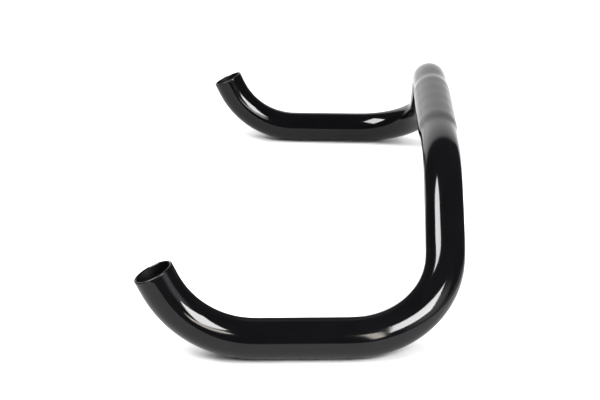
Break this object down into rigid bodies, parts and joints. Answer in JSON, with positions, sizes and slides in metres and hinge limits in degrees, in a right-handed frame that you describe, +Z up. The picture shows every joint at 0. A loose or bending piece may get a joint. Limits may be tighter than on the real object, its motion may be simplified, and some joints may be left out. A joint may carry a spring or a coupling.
{
  "type": "bullhorn handlebar",
  "caption": "Bullhorn bicycle handlebar: a bent round tube with a thickened stem clamp, arms that slope down to forward horns, and open upturned tips, in gloss black.",
  "frame": {"origin": "middle of the stem clamp, on the clamp's axis", "axes": "+X along the clamp to the rider's right, +Y forward along the level horns, +Z up"},
  "size_m": [0.4366, 0.1903, 0.0997],
  "materials": {
    "gloss_black_paint": "gloss"
  },
  "bodies": {
    "root": {"handlebar": "gloss_black_paint"}
  },
  "joints": []
}
